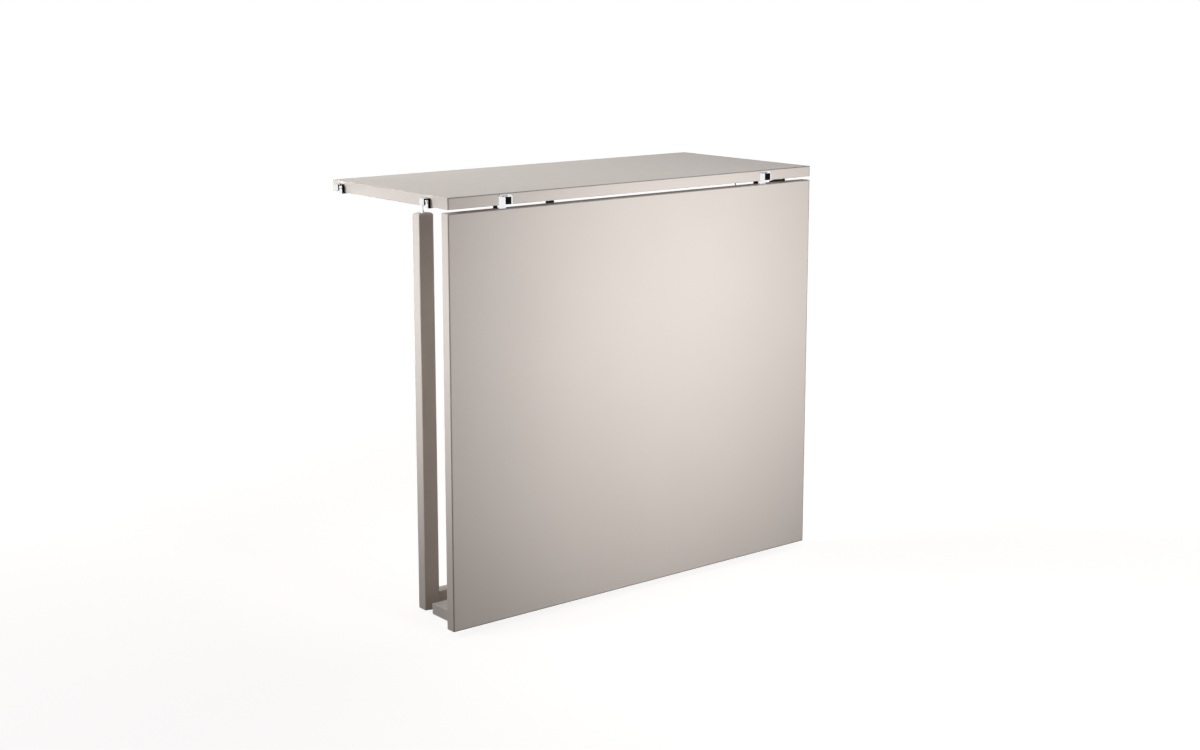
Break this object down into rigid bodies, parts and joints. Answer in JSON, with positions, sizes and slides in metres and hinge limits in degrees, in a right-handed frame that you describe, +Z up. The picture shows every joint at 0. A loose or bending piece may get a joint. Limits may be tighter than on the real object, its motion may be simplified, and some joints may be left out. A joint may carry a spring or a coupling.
{
  "type": "folding console table",
  "caption": "Narrow console table on a low stand, with a tall drop leaf hinged along its front edge that lifts level with the top and a folding leg behind the leaf to carry it.",
  "frame": {"origin": "on the floor, under the middle of the top", "axes": "+X along the width to the right, -Y to the front where the leaf hangs, +Z up"},
  "size_m": [0.8552, 0.362, 0.75],
  "materials": {
    "lacquer": "satin warm grey lacquer on board",
    "chrome": "polished",
    "steel": "zinc plated",
    "rubber": "matte",
    "black_plastic": "matte",
    "nylon": "satin",
    "beech": "bare"
  },
  "bodies": {
    "stand": {"bridge_screws": "steel", "end_hook_left_back": "chrome", "end_hook_left_front": "chrome", "end_hook_right_back": "chrome", "end_hook_right_front": "chrome", "end_hook_screws": "steel", "end_pad_left_back": "rubber", "end_pad_left_front": "rubber", "end_pad_right_back": "rubber", "end_pad_right_front": "rubber", "floor_glides": "rubber", "floor_rail": "lacquer", "foot_board": "lacquer", "foot_bridge_left": "lacquer", "foot_bridge_right": "lacquer", "hinge_cam_left": "black_plastic", "hinge_cam_right": "black_plastic", "hinge_housing_left": "chrome", "hinge_housing_right": "chrome", "hinge_pin_left": "steel", "hinge_pin_right": "steel", "leaf_stop_left": "rubber", "leaf_stop_right": "rubber", "plate_screws": "steel", "post_stud_left": "chrome", "post_stud_right": "chrome", "rail_dowels": "beech", "stand_post_left": "lacquer", "stand_post_right": "lacquer", "top_plate_left": "steel", "top_plate_right": "steel", "top_slab": "lacquer"},
    "leaf": {"arm_screws": "steel", "cheek_screws": "steel", "drop_leaf": "lacquer", "hinge_arm_left": "chrome", "hinge_arm_right": "chrome", "leaf_plate_left": "black_plastic", "leaf_plate_right": "black_plastic", "leaf_plate_screws": "steel", "leg_cheeks_left": "steel", "leg_cheeks_right": "steel", "leg_knee_left": "lacquer", "leg_knee_right": "lacquer", "leg_pin_left": "steel", "leg_pin_right": "steel"},
    "leg": {"leg_bush_left": "nylon", "leg_bush_right": "nylon", "leg_dowels": "beech", "leg_post_left": "lacquer", "leg_post_right": "lacquer", "leg_rail": "lacquer", "leg_shoes": "rubber"}
  },
  "joints": [
    {"name": "leaf_fold", "type": "hinge", "parent": "stand", "child": "leaf", "pos_m": [0, -0.171, 0.74], "axis": [-1, 0, 0], "range_deg": [0, 90]},
    {"name": "leg_unfold", "type": "hinge", "parent": "leaf", "child": "leg", "pos_m": [0, -0.089, 0.05], "axis": [-1, 0, 0], "range_deg": [0, 90]}
  ]
}
